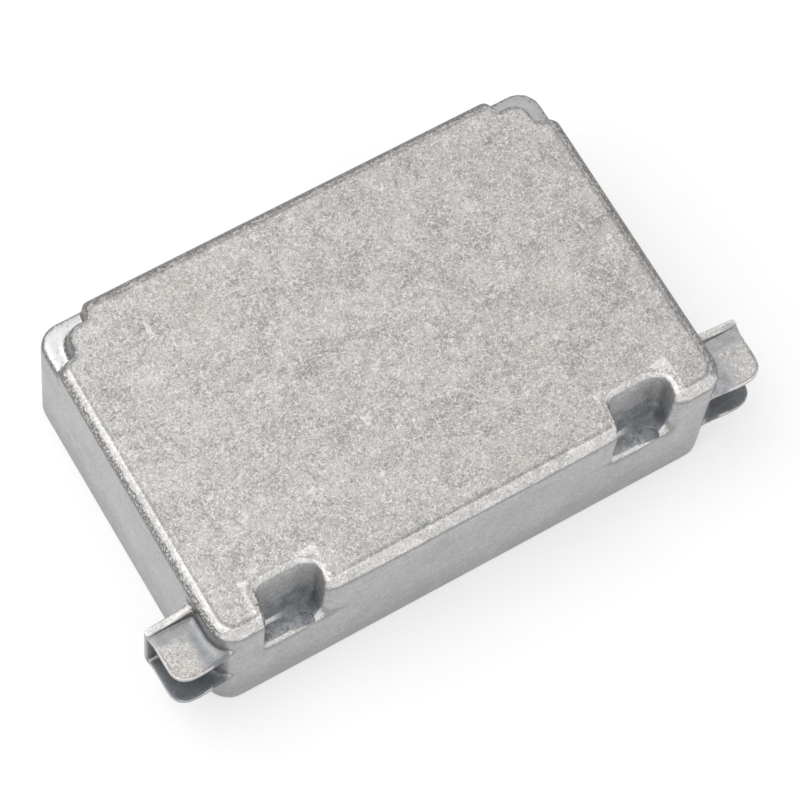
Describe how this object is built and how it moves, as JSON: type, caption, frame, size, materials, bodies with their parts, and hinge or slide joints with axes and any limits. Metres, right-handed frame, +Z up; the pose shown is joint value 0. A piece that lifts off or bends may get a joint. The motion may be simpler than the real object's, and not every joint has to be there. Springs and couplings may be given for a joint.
{
  "type": "electric scooter charger",
  "caption": "Sealed battery charger for an electric scooter: a potted mains converter in a die-cast aluminium box with corner ledges, front pockets, end lugs and lead bushes.",
  "frame": {"origin": "centre of the base, on the plane that the box stands on", "axes": "+X along the long side, +Y towards the wall with the lead bushes, +Z up out of the top face; the open pockets face -Y"},
  "size_m": [0.1628, 0.093, 0.044],
  "materials": {
    "cast_aluminium": "bare die casting, tumbled on the top face",
    "sheet_aluminium": "rolled sheet, satin",
    "seal_rubber": "cured in place, matt",
    "screw_steel": "zinc plated",
    "insulation_film": "smooth film",
    "board_laminate": "solder mask",
    "compound": "cured casting compound, satin",
    "bush_rubber": "moulded, matt",
    "tinned_brass": "tin plated",
    "fuse_ceramic": "glossy tube",
    "varistor_coating": "dipped coating",
    "thermistor_coating": "dipped coating",
    "disc_coating": "dipped coating",
    "ferrite": "ground, matt",
    "enamelled_copper": "enamelled wire",
    "wound_tape": "polyester tape",
    "film_case": "moulded case",
    "red_case": "dipped case",
    "capacitor_sleeve": "shrunk sleeve on an aluminium can",
    "package_black": "moulded package",
    "bobbin_plastic": "moulded",
    "powder_core": "painted iron powder",
    "gap_pad": "soft heat-conducting pad",
    "relay_case": "moulded case",
    "optocoupler_white": "moulded package",
    "shunt_alloy": "bare strip",
    "spring_steel": "blued spring strip"
  },
  "bodies": {
    "root": {"housing": "cast_aluminium", "base_cover": "sheet_aluminium", "cover_seal": "seal_rubber", "cover_screws": "screw_steel", "insulation_sheet": "insulation_film", "main_board": "board_laminate", "board_screws": "screw_steel", "potting_compound": "compound", "ac_lead_bush": "bush_rubber", "dc_lead_bush": "bush_rubber", "ac_terminals": "tinned_brass", "dc_terminals": "tinned_brass", "input_fuse": "fuse_ceramic", "fuse_clips": "tinned_brass", "surge_varistor": "varistor_coating", "inrush_thermistor": "thermistor_coating", "filter_choke_core": "ferrite", "filter_choke_windings": "enamelled_copper", "line_capacitors": "film_case", "earth_capacitors": "disc_coating", "bridge_rectifier": "package_black", "boost_transistor": "package_black", "boost_diode": "package_black", "boost_coil_core": "ferrite", "boost_coil_winding": "enamelled_copper", "bulk_capacitors": "capacitor_sleeve", "half_bridge_transistors": "package_black", "resonant_capacitor": "red_case", "transformer_core": "ferrite", "transformer_bobbin": "bobbin_plastic", "transformer_windings": "wound_tape", "transformer_pad": "gap_pad", "standby_transformer": "wound_tape", "control_card": "board_laminate", "control_chips": "package_black", "optocouplers": "optocoupler_white", "output_transistors": "package_black", "output_capacitors": "capacitor_sleeve", "output_choke_core": "powder_core", "output_choke_winding": "enamelled_copper", "output_relay": "relay_case", "sense_resistor": "shunt_alloy", "input_heat_bar": "sheet_aluminium", "middle_heat_bar": "sheet_aluminium", "output_heat_bar": "sheet_aluminium", "heat_bar_pads": "gap_pad", "transistor_clips": "spring_steel"}
  },
  "joints": []
}
